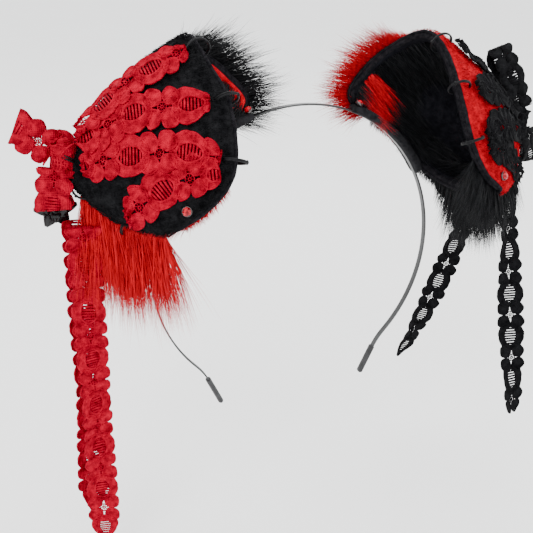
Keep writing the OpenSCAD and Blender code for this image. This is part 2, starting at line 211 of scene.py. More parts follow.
def tube(path, radius, sides=8, closed=False):
    """A round tube along points, with its ends drawn in."""
    path = np.asarray(path, float)
    n = len(path)
    radius = np.broadcast_to(np.asarray(radius, float), (n,)).copy()
    if closed:
        t = unit(np.roll(path, -1, 0) - np.roll(path, 1, 0))
    else:
        t = unit(np.gradient(path, axis=0))
        radius[0] *= 0.4
        radius[-1] *= 0.4
    u = np.zeros_like(path)
    ref = np.array([0.31, 0.52, 0.79])
    u[0] = unit(np.cross(t[0], ref))
    for i in range(1, n):
        u[i] = unit(u[i - 1] - t[i] * np.dot(u[i - 1], t[i]))
    w = np.cross(t, u)
    a = np.arange(sides) * 2 * math.pi / sides
    ring = (np.cos(a)[None, :, None] * u[:, None] + np.sin(a)[None, :, None] * w[:, None])
    verts = path[:, None] + ring * radius[:, None, None]
    faces = grid_faces(n, sides, wrap=True)
    if closed:
        faces += [((n - 1) * sides + j, (n - 1) * sides + (j + 1) % sides, (j + 1) % sides, j)
                  for j in range(sides)]
    else:
        faces += [tuple(range(sides))[::-1], tuple((n - 1) * sides + j for j in range(sides))]
    return verts.reshape(-1, 3), faces


def mesh_object(name, verts, faces, material, body, side="left", smooth=True, slot=None):
    verts = np.array(verts, float) * MM
    if side == "right":
        verts[:, 0] *= -1
        faces = [f[::-1] for f in faces]
    me = bpy.data.meshes.new(name)
    me.from_pydata(verts.tolist(), [], faces)
    me.validate()
    me.polygons.foreach_set("use_smooth", [smooth] * len(me.polygons))
    me.update()
    ob = bpy.data.objects.new(name, me)
    bpy.context.scene.collection.objects.link(ob)
    me.materials.append(material)
    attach(ob, body)
    return ob


def shape_object(name, shape, *args, **kwargs):
    return mesh_object(name, shape.verts(), shape.f, *args, **kwargs)


# ---- Materials ------------------------------------------------------------------------
def principled(name, base, rough=0.5, **settings):
    m = bpy.data.materials.new(name)
    m.use_nodes = True
    b = m.node_tree.nodes["Principled BSDF"]
    b.inputs["Base Color"].default_value = (*base, 1)
    b.inputs["Roughness"].default_value = rough
    for key, value in settings.items():
        b.inputs[key.replace("_", " ")].default_value = value
    return m


def add(m, kind, **inputs):
    n = m.node_tree.nodes.new(kind)
    for key, value in inputs.items():
        n.inputs[key.replace("_", " ")].default_value = value
    return n


def link(m, a, out, b, into):
    m.node_tree.links.new(a.outputs[out], b.inputs[into])


def shader(m):
    return m.node_tree.nodes["Principled BSDF"]


def position(m, scale=(1, 1, 1)):
    co = add(m, "ShaderNodeTexCoord")
    mapping = add(m, "ShaderNodeMapping", Scale=scale)
    link(m, co, "Object", mapping, "Vector")
    return mapping


def tint(m, low, high, scale, detail=4.0, stretch=(1, 1, 1), spread=(0.35, 0.65)):
    """The base colour wanders between two tints."""
    p = position(m, stretch)
    noise = add(m, "ShaderNodeTexNoise", Scale=scale, Detail=detail, Roughness=0.6)
    link(m, p, "Vector", noise, "Vector")
    ramp = m.node_tree.nodes.new("ShaderNodeValToRGB")
    ramp.color_ramp.elements[0].position, ramp.color_ramp.elements[1].position = spread
    ramp.color_ramp.elements[0].color = (*low, 1)
    ramp.color_ramp.elements[1].color = (*high, 1)
    link(m, noise, "Fac", ramp, "Fac")
    link(m, ramp, "Color", shader(m), "Base Color")
    return m


def rough_noise(m, low, high, scale):
    p = position(m)
    noise = add(m, "ShaderNodeTexNoise", Scale=scale, Detail=3.0)
    link(m, p, "Vector", noise, "Vector")
    span = add(m, "ShaderNodeMapRange")
    span.inputs["To Min"].default_value = low
    span.inputs["To Max"].default_value = high
    link(m, noise, "Fac", span, "Value")
    link(m, span, "Result", shader(m), "Roughness")
    return m


def bump(m, height_node, out, strength, distance):
    b = add(m, "ShaderNodeBump", Strength=strength, Distance=distance)
    link(m, height_node, out, b, "Height")
    last = shader(m).inputs["Normal"]
    if last.links:
        m.node_tree.links.new(last.links[0].from_socket, b.inputs["Normal"])
    link(m, b, "Normal", shader(m), "Normal")
    return m


def grain(m, scale, strength, distance, stretch=(1, 1, 1), detail=5.0):
    p = position(m, stretch)
    noise = add(m, "ShaderNodeTexNoise", Scale=scale, Detail=detail, Roughness=0.65)
    link(m, p, "Vector", noise, "Vector")
    return bump(m, noise, "Fac", strength, distance)


def weave(m, scale, strength, distance, tilt=0.0):
    """Two crossed sets of threads."""
    for angle in (tilt, tilt + math.pi / 2):
        co = add(m, "ShaderNodeTexCoord")
        mapping = add(m, "ShaderNodeMapping", Rotation=(0.0, angle, 0.0))
        link(m, co, "Object", mapping, "Vector")
        wave = add(m, "ShaderNodeTexWave", Scale=scale, Distortion=1.2, Detail=1.0)
        link(m, mapping, "Vector", wave, "Vector")
        bump(m, wave, "Fac", strength, distance)
    return m


def lace_material(name, low, high):
    m = principled(name, high, 0.72, Specular_IOR_Level=0.03)
    tint(m, low, high, 420, 6.0)
    weave(m, 520, 0.6, 0.00022)
    return grain(m, 1600, 0.5, 0.00015)


def fur_material(name, low, high, rough=0.45, specular=0.35):
    m = principled(name, high, rough, Specular_IOR_Level=specular)
    return tint(m, low, high, 900, 2.0, (1, 1, 0.12), (0.3, 0.7))


def pile_material(name, low, high):
    m = principled(name, high, 0.95, Specular_IOR_Level=0.06)
    tint(m, low, high, 420, 6.0)
    return grain(m, 1500, 0.7, 0.0004)


RED_LACE = lace_material("red_corded_lace", (0.16, 0.0, 0.006), (0.42, 0.0, 0.019))
BLACK_LACE = lace_material("black_corded_lace", (0.002, 0.002, 0.0025), (0.008, 0.008, 0.009))
RED_HAIR = fur_material("red_long_fur", (0.24, 0.0, 0.004), (0.62, 0.0, 0.010), 0.6, 0.08)
BLACK_HAIR = fur_material("black_long_fur", (0.0012, 0.0012, 0.0016), (0.008, 0.0085, 0.010),
                          0.5, 0.12)
RED_PILE = pile_material("red_short_pile", (0.22, 0.0, 0.004), (0.46, 0.0, 0.010))
BLACK_PILE = pile_material("black_short_pile", (0.0015, 0.0015, 0.002), (0.009, 0.009, 0.010))
RED_BASE = pile_material("red_fur_backing", (0.25, 0.0, 0.004), (0.45, 0.002, 0.012))
BLACK_BASE = pile_material("black_fur_backing", (0.001, 0.001, 0.002), (0.006, 0.006, 0.008))

THREAD = principled("waxed_black_thread", (0.003, 0.003, 0.0035), 0.5, Specular_IOR_Level=0.12)
tint(THREAD, (0.001, 0.001, 0.0015), (0.006, 0.006, 0.007), 900)
grain(THREAD, 2600, 0.5, 0.0001, (1, 1, 3))

PIPING = principled("wrapped_piping", (0.006, 0.006, 0.007), 0.85, Specular_IOR_Level=0.04)
tint(PIPING, (0.002, 0.002, 0.003), (0.012, 0.011, 0.013), 700)
weave(PIPING, 700, 0.5, 0.0002, 0.7)

FELT = principled("dense_felt", (0.01, 0.01, 0.011), 0.95, Specular_IOR_Level=0.1)
tint(FELT, (0.004, 0.004, 0.005), (0.016, 0.016, 0.018), 500)
grain(FELT, 1200, 0.8, 0.0004)

BAND = principled("satin_black_enamel", (0.016, 0.017, 0.018), 0.33, Coat_Weight=0.1,
                  Coat_Roughness=0.25)
tint(BAND, (0.006, 0.006, 0.007), (0.016, 0.017, 0.018), 90)
rough_noise(BAND, 0.26, 0.42, 320)
grain(BAND, 900, 0.12, 0.00005, (1, 8, 1))

RUBBER = principled("dipped_rubber", (0.012, 0.012, 0.013), 0.55, Specular_IOR_Level=0.4)
tint(RUBBER, (0.008, 0.008, 0.009), (0.024, 0.024, 0.026), 400)
rough_noise(RUBBER, 0.45, 0.65, 700)
grain(RUBBER, 2200, 0.2, 0.00008)

RUBY = principled("ruby_crystal", (0.40, 0.0, 0.01), 0.08, Specular_IOR_Level=0.25)
tint(RUBY, (0.10, 0.0, 0.002), (0.50, 0.0, 0.012), 900, 1.0)
GLOSS = principled("glossy_black_petal", (0.003, 0.003, 0.0035), 0.16, Specular_IOR_Level=0.3)
tint(GLOSS, (0.001, 0.001, 0.0015), (0.005, 0.005, 0.006), 200)
grain(GLOSS, 380, 0.25, 0.0004)
SETTING = principled("dark_metal_setting", (0.10, 0.09, 0.09), 0.3, Metallic=1.0)
rough_noise(SETTING, 0.2, 0.4, 800)

# ---- The band and its tips ------------------------------------------------------------
for node, material in (("headband", BAND), ("left_end_tip", RUBBER), ("right_end_tip", RUBBER)):
    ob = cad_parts[node]
    ob.data.materials.clear()
    ob.data.materials.append(material)
    for poly in ob.data.polygons:
        poly.material_index = 0


# ---- Lace -----------------------------------------------------------------------------
def disc(shape, cu, cw, r, segments=18):
    """A filled round petal of lace with a corded rim; (u, w, height)."""
    profile = [(0.0, 0.30), (0.45, 0.26), (0.80, 0.14), (0.90, 0.62), (1.0, 0.44), (1.02, 0.0)]
    a = np.arange(segments) * 2 * math.pi / segments
    wob = 1 + 0.04 * np.cos(5 * a + cu)
    rings = [np.stack([cu + r * f * wob * np.cos(a), cw + r * f * wob * np.sin(a),
                       np.full(segments, h)], -1) for f, h in profile[1:]]
    n = len(rings) * segments
    verts = np.concatenate(rings + [np.array([[cu, cw, profile[0][1]], [cu, cw, 0.0]])])
    faces = grid_faces(len(rings), segments, wrap=True, flip=True)
    for j in range(segments):
        k = (j + 1) % segments
        faces.append((n, j, k))
        base = (len(rings) - 1) * segments
        faces.append((n + 1, base + k, base + j))
    shape.add(verts, faces)


def bar(shape, a, b, width=0.34, high=0.36, low=0.04):
    """A straight cord of lace between two places (u, w)."""
    a, b = np.array(a, float), np.array(b, float)
    d = (b - a) / max(np.linalg.norm(b - a), 1e-6)
    n = np.array([-d[1], d[0]]) * width / 2
    verts = [(*(a + n), low), (*(a - n), low), (*(a + n * 0.5), high), (*(a - n * 0.5), high),
             (*(b + n), low), (*(b - n), low), (*(b + n * 0.5), high), (*(b - n * 0.5), high)]
    shape.add(verts, [(0, 1, 5, 4), (2, 6, 7, 3), (0, 4, 6, 2), (1, 3, 7, 5), (0, 2, 3, 1),
                      (4, 5, 7, 6)])


def ring_band(shape, cu, cw, outer, inner, segments, heights):
    """A flat ring between an outer and an inner outline, each a function of the angle."""
    a = np.arange(segments) * 2 * math.pi / segments
    rings = []
    for f, h in heights:
        r = inner(a) * (1 - f) + outer(a) * f
        rings.append(np.stack([cu + r[:, 0], cw + r[:, 1], np.full(segments, h)], -1))
    n = len(rings)
    faces = grid_faces(n, segments, wrap=True)
    faces += [((n - 1) * segments + j, (n - 1) * segments + (j + 1) % segments,
               (j + 1) % segments, j) for j in range(segments)]
    shape.add(np.concatenate(rings), faces)


PETAL_R, EYE_R, EYE_CORD = 2.95, 1.65, 0.38
HUB_R, HUB_HOLE = 0.62, 0.25


def flower(shape, cu):
    """Four round petals about a spoked eye."""
    for du in (-1, 1):
        for dw in (-1, 1):
            disc(shape, cu + du * PETAL_R * 0.98, dw * PETAL_R * 1.08, PETAL_R)

    def circle(k):
        return lambda a: np.stack([k * np.cos(a), k * np.sin(a)], -1)
    rounded = [(0, 0.1), (0.2, 0.5), (0.8, 0.5), (1, 0.1)]
    ring_band(shape, cu, 0, circle(EYE_R), circle(EYE_R - EYE_CORD), 20, rounded)
    ring_band(shape, cu, 0, circle(HUB_R), circle(HUB_HOLE), 12, rounded)
    for k in range(8):
        a = k * math.pi / 4 + 0.2
        bar(shape, (cu + 0.55 * math.cos(a), 0.55 * math.sin(a)),
            (cu + EYE_R * math.cos(a), EYE_R * math.sin(a)), 0.26)


OVAL_L, OVAL_W = 6.3, 5.9
# The opening of an oval, as a share of its length and of its width
OPEN_L, OPEN_W = 0.60, 0.42


def oval(shape, cu):
    """A scalloped medallion with a ladder of open bars."""
    def outer(a):
        k = 1 + 0.035 * np.abs(np.sin(6 * a))
        return np.stack([OVAL_L * k * np.sign(np.cos(a)) * np.abs(np.cos(a)) ** 1.05,
                         OVAL_W * k * np.sign(np.sin(a)) * np.abs(np.sin(a)) ** 0.85], -1)

    def inner(a):
        return np.stack([OVAL_L * OPEN_L * np.cos(a), OVAL_W * OPEN_W * np.sin(a)], -1)
    ring_band(shape, cu, 0, outer, inner, 44,
              [(0.0, 0.05), (0.05, 0.55), (0.20, 0.6), (0.30, 0.16), (0.78, 0.20), (0.86, 0.66),
               (0.97, 0.5), (1.0, 0.0)])
    for k in range(-3, 4):
        u = k * OVAL_L * OPEN_L / 3.5
        w = OVAL_W * OPEN_W * math.sqrt(max(0.0, 1 - (u / (OVAL_L * OPEN_L)) ** 2)) + 0.15
        bar(shape, (cu + u, -w), (cu + u, w), 0.84, 0.36)


# Length of the lace's repeat, and of the hem at each end of a cut
REPEAT = 19.0
HEM = 0.8
# How far past an end a figure's middle may lie, and how near an end a cord may come
FIGURE_ROOM, CORD_ROOM = 6, 0.5
# Length at a tail's end that holds no figure's middle
POINT_ROOM = 5.0


def lace_pattern(length, start, keep=lambda u: True):
    """The lace's flat pattern for a length, from a place in its repeat."""
    shape = Shape()
    k = math.floor(-start / REPEAT) - 1
    while k * REPEAT + start < length + REPEAT:
        cu = k * REPEAT + start
        k += 1
        if -FIGURE_ROOM < cu < length + FIGURE_ROOM and keep(cu):
            flower(shape, cu)
        co = cu + REPEAT / 2
        if -FIGURE_ROOM < co < length + FIGURE_ROOM and keep(co):
            oval(shape, co)
        for side in (-1, 1):
            for end in (-1, 1):
                a = (co + end * 4.0, side * 3.4)
                b = (co + end * 5.6, side * 4.4)
                c = (co + end * 5.9, side * 1.9)
                inside = CORD_ROOM < min(a[0], b[0]) and max(a[0], b[0]) < length - CORD_ROOM
                if inside and keep(co):
                    bar(shape, a, b, 0.3)
                    bar(shape, (co + end * 4.6, side * 2.2), c, 0.3)
                    bar(shape, (co + end * 4.9, 0), (co + end * 6.3, side * 0.6), 0.3)
    return shape


def gather(t):
    return 1 - 0.72 * (1 - np.minimum(1, 4 * np.minimum(t, 1 - t))) ** 2


# Each gathered band's lift over the one below, and its width as laid over its flat width
BAND_LIFT, BAND_SPREAD = 0.36, 1.10
# Where each band's lengthwise crease runs, as a share of its half width
CREASE = (-0.2, 0.35, 0.1, -0.3)


def band_mapper(k):
    """Places the flat lace over the front panel along route k."""
    route = np.array(LACE_ROUTES[k], float)
    spans = len(route) - 1
    low = PANEL_TOP + BAND_LIFT + (len(LACE_ROUTES) - 1 - k) * BAND_LIFT
    q = np.linspace(0, spans, 200)
    c = open_curve(route, q)
    line = skin(c[:, 0], c[:, 1], low)
    steps = np.concatenate([[0], np.cumsum(np.linalg.norm(np.diff(line, axis=0), axis=1))])
    length = steps[-1]

    def place(p):
        u, w, h = p[:, 0], p[:, 1], p[:, 2]
        qq = np.interp(u, steps, q)
        t = qq / spans
        c = open_curve(route, qq)
        e, f = open_curve(route, qq + 0.05), open_curve(route, qq - 0.05)
        n = cup_normal(c[:, 0], c[:, 1])
        across = unit(np.cross(cup(e[:, 0], e[:, 1]) - cup(f[:, 0], f[:, 1]), n))
        g = gather(t)
        step = across * (w * g * BAND_SPREAD)[:, None]
        a = (cup(c[:, 0] + 0.05, c[:, 1]) - cup(c[:, 0] - 0.05, c[:, 1])) / 0.1
        b = (cup(c[:, 0], c[:, 1] + 0.02) - cup(c[:, 0], c[:, 1] - 0.02)) / 0.04
        aa, bb, ab = (a * a).sum(1), (b * b).sum(1), (a * b).sum(1)
        wa, wb = (step * a).sum(1), (step * b).sum(1)
        det = aa * bb - ab * ab
        s = c[:, 0] + (wa * bb - wb * ab) / det
        v = np.clip(c[:, 1] + (wb * aa - wa * ab) / det, 0.09, 0.99)
        side = w / (LACE_W / 2)
        ends = 1 - g
        fold = 2.6 * ends * (0.5 + 0.5 * np.cos(3 * math.pi * side + k))
        ripple = 0.22 * (1 + np.sin(0.55 * u + 2.1 * k + 1.3 * side)) * (0.4 + 0.6 * np.abs(side))
        along_crease = 0.55 + 0.45 * np.sin(0.33 * u + 1.9 * k)
        crease = along_crease * np.exp(-((side - CREASE[k]) / 0.16) ** 2)
        ripple = ripple + 1.3 * crease
        return off_seat(skin(s, v, low + h + fold + ripple))
    return length, place


def ribbon_mapper(route, across, twist=0.0, cup_amount=0.0, wave=0.0, point=0.0):
    """Places the flat lace along a route that keeps one width direction."""
    route = np.asarray(route, float)
    spans = len(route) - 1
    q = np.linspace(0, spans, 300)
    line = open_curve(route, q)
    steps = np.concatenate([[0], np.cumsum(np.linalg.norm(np.diff(line, axis=0), axis=1))])
    length = steps[-1]
    across = np.asarray(across, float)

    def place(p):
        u, w, h = p[:, 0], p[:, 1], p[:, 2]
        if point:
            w = w * np.clip((length - u) / point, 0.12, 1)
        qq = np.interp(u, steps, q)
        c = open_curve(route, qq)
        t = unit(open_curve(route, qq + 0.05) - open_curve(route, qq - 0.05))
        n = unit(np.cross(t, across))
        side = np.cross(n, t)
        a = twist * np.sin(2 * math.pi * u / max(length, 1) * 1.3 + 0.4)
        side, n = (side * np.cos(a)[:, None] + n * np.sin(a)[:, None],
                   n * np.cos(a)[:, None] - side * np.sin(a)[:, None])
        lift = h - 0.25 + cup_amount * (w / (LACE_W / 2)) ** 2 + wave * np.sin(0.42 * u + 0.25 * w)
        return c + side * w[:, None] + n * lift[:, None]
    return length, place


def lace_object(name, node, material, side, body, mapper, start,
                keep=lambda u: True):
    length, place = mapper
    shape = lace_pattern(length, start, keep)
    flat_verts = shape.verts()
    # What runs past an end of the cut is folded into its hem
    u = flat_verts[:, 0]
    over = u - (length - HEM)
    u = np.where(over > 0, length - HEM * np.exp(-np.maximum(over, 0) / 3), u)
    u = np.where(u < HEM, HEM * np.exp(np.minimum(u - HEM, 0) / 3), u)
    flat_verts[:, 0] = u
    verts = place(flat_verts)
    ob = mesh_object(name, verts, shape.f, material, body, side,
                     slot="red_lace" if side == "left" else "black_lace")
    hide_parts(node)
    return ob


# ---- Hair -----------------------------------------------------------------------------
def strands(name, roots, normals, flow, length, width, material, body, side, rng,
            lift=0.3, droop=0.0, wild=0.12, slot=None):
    """Tapered hairs: they leave along the flow, lift off the skin, and droop."""
    n = len(roots)
    length = np.broadcast_to(length, (n,)) * (0.55 + 0.6 * rng.random(n))
    clump = np.sin(roots * 0.9).sum(1)[:, None] * 0.10
    d = unit(unit(flow) + normals * lift * (0.6 + 0.8 * rng.random((n, 1)))
             + rng.normal(0, wild, (n, 3)) + clump * np.roll(unit(flow), 1, axis=1))
    bend = rng.normal(0, wild * 0.8, (n, 3)) + DOWN * droop
    spin = unit(rng.normal(0, 1, (n, 3)))
    rows = []
    for t, w in ((0.0, 1.0), (0.35, 0.85), (0.70, 0.55), (1.0, 0.0)):
        c = roots + length[:, None] * (t * d + t * t * bend)
        tangent = unit(d + 2 * t * bend)
        across = unit(np.cross(tangent, spin)) * (width * w / 2)
        rows.append((c - across, c + across) if w else (c,))
    verts = np.stack([p for row in rows for p in row], 1).reshape(-1, 3)
    base = (np.arange(n) * 7)[:, None]
    quads = np.concatenate([base + [0, 1, 3, 2], base + [2, 3, 5, 4]])
    tips = base + [4, 5, 6]
    faces = [tuple(f) for f in quads.tolist()] + [tuple(f) for f in tips.tolist()]
    return mesh_object(name, verts, faces, material, body, side, slot=slot)


def scatter(rng, n, s0, s1, v0, v1, d, power=1.0):
    s = s0 + (s1 - s0) * rng.random(n)
    v = v0 + (v1 - v0) * rng.random(n) ** power
    p = off_seat(skin(s, v, d))
    nrm = turn(cup_normal(s, v))
    along = turn(unit(cup(s, v + 0.02) - cup(s, v - 0.02)))
    return s, v, p, nrm, along


def pillow(s0, s1, v0, v1, low, high, rows, cols, name, material, body, side, slot, lump=0.25):
    """A padded skin of the ear: full in the middle, drawn in at its seams."""
    s = np.linspace(s0, s1, cols)[None, :]
    v = np.linspace(v0, v1, rows)[:, None]
    a = np.minimum(np.linspace(0, 1, cols), np.linspace(1, 0, cols))[None, :]
    b = np.minimum(np.linspace(0, 1, rows), np.linspace(1, 0, rows))[:, None]
    full = 1 - np.exp(-(np.minimum(a * (cols - 1), b * (rows - 1)) / 1.6))
    ss, vv = np.broadcast_arrays(s, v)
    relief = lump * np.sin(ss * 5.1) * np.cos(vv * 23) * full
    top = off_seat(skin(ss, vv, low + (high - low) * (0.25 + 0.75 * full) + relief))
    under = off_seat(skin(ss, vv, low))
    verts, faces = slab(top[:, ::-1], under[:, ::-1])
    return mesh_object(name, verts, faces, material, body, side, slot=slot)


# How many hairs each layer has
PANEL_HAIRS, FUR_HAIRS, LINING_HAIRS, FRINGE_HAIRS = 30000, 20000, 17000, 11000
WISPS, GUARD_HAIRS = 650, 700
PILE_LENGTH, WISP_LENGTH = 1.1, 17.0
# Where the furs' skins end, and how much lower they are than the fur's own thickness
SKIN_END, BACKING = 0.96, 0.7
LINING_T = 1.5
PIPING_R, BINDING_R = 0.72, 1.2


def build_ear(side):
    body = side + "_ear"
    left = side == "left"
    rng = np.random.default_rng(11 if left else 23)
    front_pile, front_slot = (BLACK_PILE, "black_fur") if left else (RED_PILE, "red_fur")
    back_hair, back_base = (BLACK_HAIR, BLACK_BASE) if left else (RED_HAIR, RED_BASE)
    under_hair, under_base = (RED_HAIR, RED_BASE) if left else (BLACK_HAIR, BLACK_BASE)
    under_slot = "red_fur" if left else "black_fur"

    # Skins
    panel = pillow(PANEL_S[0] + SEAM, PANEL_S[1] - SEAM, TIP_V, 1.0, LAYER_GAP, PANEL_TOP,
                   44, 84, side + "_panel_face", front_pile, body, side, front_slot, 0.12)
    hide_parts(side + "_front_panel")
    under = pillow(UNDER_S[0] + SEAM, UNDER_S[1] - SEAM, TIP_V, SKIN_END, LAYER_GAP,
                   FUR_TOP - BACKING, 30, 40, side + "_under_fur_skin", under_base, body, side, under_slot)
    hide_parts(side + "_under_fur")
    back = pillow(BACK_S[0] + SEAM, BACK_S[1] - SEAM, TIP_V, SKIN_END, LAYER_GAP,
                  FUR_TOP - BACKING, 30, 40, side + "_back_fur_skin", back_base, body, side, front_slot)
    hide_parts(side + "_back_fur")

    # Lining: the inner wall of the cup and its floor
    cols, rows = 72, 14
    s = np.linspace(0, ROUND, cols, endpoint=False)[None, :]
    v = np.linspace(0.5, 1.0, rows)[:, None]
    near = -CORE_T - LAYER_GAP

    def lining_sheet(d, lift):
        wall = skin(s, v, d)
        centre = skin(s, 0.5, d).reshape(-1, 3).mean(0)
        axis = unit(RIM.mean(0) - centre)
        floor = [centre + axis * lift + (skin(s, 0.5, d)[0] - centre - axis * lift) * f
                 for f in (0.03, 0.25, 0.5, 0.75, 0.92)]
        return np.concatenate([np.array(floor), wall])
    top = off_seat(lining_sheet(near - LINING_T, LINING_T))
    low = off_seat(lining_sheet(near, 0))
    verts, faces = slab(top, low, wrap=True)
    lining = mesh_object(side + "_lining_skin", verts, faces, under_base, body, side,
                         slot=under_slot)
    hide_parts(side + "_lining", side + "_core")

    # Piping round the opening
    sp = np.linspace(0, ROUND, 12 * ROUND, endpoint=False)
    out = unit(cup(sp, 1.0) - cup(sp, 0.96))
    line = skin(sp, 1.0, 0.2) + out * 0.45
    radius = PIPING_R + 0.06 * np.sin(sp * 60)
    edge = Shape()
    edge.add(*tube(off_seat(line), radius, 10, closed=True))
    # The bound edge behind the piping covers the felt's cut edge and the lining's
    edge.add(*tube(off_seat(skin(sp, 0.995, -1.25)), BINDING_R, 10, closed=True))
    piping = shape_object(side + "_piping", edge, PIPING, body, side, slot="piping")
    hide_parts(side + "_edge_cord")

    # Short pile on the front panel
    s_, v_, p, nrm, along = scatter(rng, PANEL_HAIRS, -0.45, 5.45, TIP_V, 1.0, PANEL_TOP - 0.15)
    strands(side + "_panel_pile", p, nrm, -along, PILE_LENGTH, 0.22, front_pile, body, side, rng,
            lift=0.35, wild=0.3, slot=front_slot)

    # Long fur under the ear: it hangs
    s_, v_, p, nrm, along = scatter(rng, FUR_HAIRS, 5.45, 8.45, 0.2, 0.97, FUR_TOP - 1.0)
    flow = DOWN * 0.9 + along * 0.12 + nrm * 0.1 + np.array([0.3 if left else -0.1, 0, 0])
    size = 4 + (24 if left else 15) * np.clip((6.7 - s_) / 0.5, 0, 1)
    if left:
        size = size * (1 - 0.8 * np.clip((v_ - 0.62) / 0.2, 0, 1) * (s_ > 5.9))
    strands(side + "_under_fur_pile", p, nrm, flow, size, 0.24, under_hair, body, side, rng,
            lift=0.35, droop=0.25, wild=0.10, slot=under_slot)

    # Long fur on the back
    s_, v_, p, nrm, along = scatter(rng, FUR_HAIRS, 8.55, 11.5, 0.16, 0.985, FUR_TOP - 1.0)
    flow = along * 0.9 + np.array([0.1, -0.05, 0.15])
    ridge = np.clip((11.1 - s_) / 0.5, 0, 1)
    size = 2.2 + (17 if left else 14) * np.clip((v_ - 0.6) / 0.3, 0, 1) * ridge
    strands(side + "_back_fur_pile", p, nrm, flow, size, 0.22, back_hair, body, side, rng,
            lift=0.42, droop=0.10, wild=0.13, slot=front_slot)

    # Fur inside the cup: it flows to the tip's side and down, and over the lower rim
    s_, v_, p, nrm, along = scatter(rng, LINING_HAIRS, 0, ROUND, 0.5, 0.98, near - 1.4)
    toward = np.array([-0.72, -0.10, -0.70])
    flow = toward - nrm * (nrm @ toward)[:, None] * 0.8
    size = np.where((s_ > 3) & (s_ < 8.5), 9.0, 13.0)
    size = np.where(left & (s_ > 5.2) & (s_ < 9) & (v_ > 0.8), 4.0, size)
    strands(side + "_lining_pile", p, -nrm, flow, size, 0.24, under_hair, body, side, rng,
            lift=0.25, droop=0.05, wild=0.10, slot=under_slot)
    s_, v_, p, nrm, along = scatter(rng, FRINGE_HAIRS, 3.4, 9.6, 0.86, 1.0, near - 1.2)
    near_seat = np.clip((s_ - 5.8) / 1.2, 0, 1)[:, None]
    flow = (along * 0.75 + DOWN * 0.55) * (1 - 0.75 * near_seat) + toward * (0.35 + near_seat)
    size = np.where(left, 3.0, 14 - 4 * near_seat[:, 0])
    strands(side + "_rim_fringe", p, -nrm, flow, size, 0.22, under_hair, body, side, rng,
            lift=0.22, droop=0.25, wild=0.12, slot=under_slot)
    # Loose hairs of the other colour over the lower corner, and long guard hairs at the tip
    s_, v_, p, nrm, along = scatter(rng, WISPS, 8.8, 9.9, 0.93, 1.0, near - 0.4)
    strands(side + "_corner_wisps", p, -nrm, toward + along * 0.2, WISP_LENGTH, 0.20,
            back_hair, body, side, rng, lift=0.25, droop=0.15, wild=0.10, slot=front_slot)
    s_, v_, p, nrm, along = scatter(rng, GUARD_HAIRS, 7.6, 9.6, 0.18, 0.55, FUR_TOP - 1.0)
    flow = np.array([-0.55, -0.35, -0.6]) - along * 0.2
    strands(side + "_guard_hairs", p, nrm, flow, WISP_LENGTH, 0.16, BLACK_HAIR, body, side,
            rng, lift=0.3, droop=0.15, wild=0.22, slot="black_fur")


def build_seat(side):
    """The felt pad that grips the band: rounded, with its ends drawn in."""
    body = side + "_ear"
    n = 60
    a = np.linspace(-SADDLE_L / 2, SADDLE_L / 2, n) / BAND_R
    half_w, top, inner = SADDLE_W / 2, SADDLE_H + 0.05, 0.12
    k = np.linspace(0, 2 * math.pi, 20, endpoint=False)
    ring_y = half_w * np.sign(np.cos(k)) * np.abs(np.cos(k)) ** 0.45
    ring_r = (top + inner) / 2 + (top - inner) / 2 * np.sign(np.sin(k)) * np.abs(np.sin(k)) ** 0.45
    ends = 1 - 0.35 * np.exp(-(np.minimum(np.arange(n), np.arange(n)[::-1]) / 1.5))
    r = BAND_R + ring_r[None, :] * ends[:, None]
    y = ring_y[None, :] * ends[:, None]
    p = np.stack([r * np.sin(a)[:, None], np.broadcast_to(y, r.shape),
                  r * np.cos(a)[:, None] - BAND_R], -1)
    shape = Shape()
    faces = grid_faces(n, 20, wrap=True) + [tuple(range(20))[::-1],
                                           tuple((n - 1) * 20 + j for j in range(20))]
    shape.add(off_seat(p.reshape(-1, 3)), faces)
    ob = shape_object(side + "_felt_saddle", shape, FELT, body, side, slot="black_felt")
    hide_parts(side + "_saddle")


LOOP_POINTS = 28
THREAD_R = 0.32
STONE_SIZE = 3.0


def loop_path(centre, direction, diameter, squash=1.0):
    d = unit(direction)
    u = unit(np.cross(d, [0.2, 0.9, 0.4]))
    w = np.cross(d, u)
    a = np.linspace(0, 2 * math.pi, LOOP_POINTS, endpoint=False)
    return (np.asarray(centre) + diameter / 2 * (np.cos(a)[:, None] * u
            + squash * np.sin(a)[:, None] * w))


def build_threads(side):
    body = side + "_ear"
    rng = np.random.default_rng(5)
    shape = Shape()
    places = [(cup(s, 1.0), cup(s + 0.05, 1.0) - cup(s - 0.05, 1.0)) for s in (0.6, 1.9, 2.9)]
    places.append((cup(5.5, 0.62), cup(5.5, 0.64) - cup(5.5, 0.60)))
    places.append((cup(5.0, 0.2), cup(3.5, 0.2) - cup(6.5, 0.2)))
    for c, d in places:
        for turn_no in range(2):
            shift = unit(d) * (turn_no * 0.5 - 0.25)
            path = loop_path(c + shift, d + rng.normal(0, 0.03, 3), 8.0 + 0.2 * turn_no, 0.96)
            shape.add(*tube(off_seat(path), THREAD_R, 8, closed=True))
        u = loop_path(c, d, 8.2)[3]
        knot = [u + unit(d) * x for x in (-0.8, -0.4, 0.1, 0.5, 0.9)]
        shape.add(*tube(off_seat(np.array(knot)), [0.2, 0.45, 0.6, 0.45, 0.2], 8))
    # Two turns round the neck of the bow
    for dz in (-0.6, 0.3):
        path = loop_path(KNOT + np.array([0.2, 0, dz]), [0.55, 0.1, 1], 9.2, 0.95)
        shape.add(*tube(path, 0.3, 8, closed=True))
    ob = shape_object(side + "_waxed_threads", shape, THREAD, body, side, slot="waxed_thread")
    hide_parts(side + "_threads")


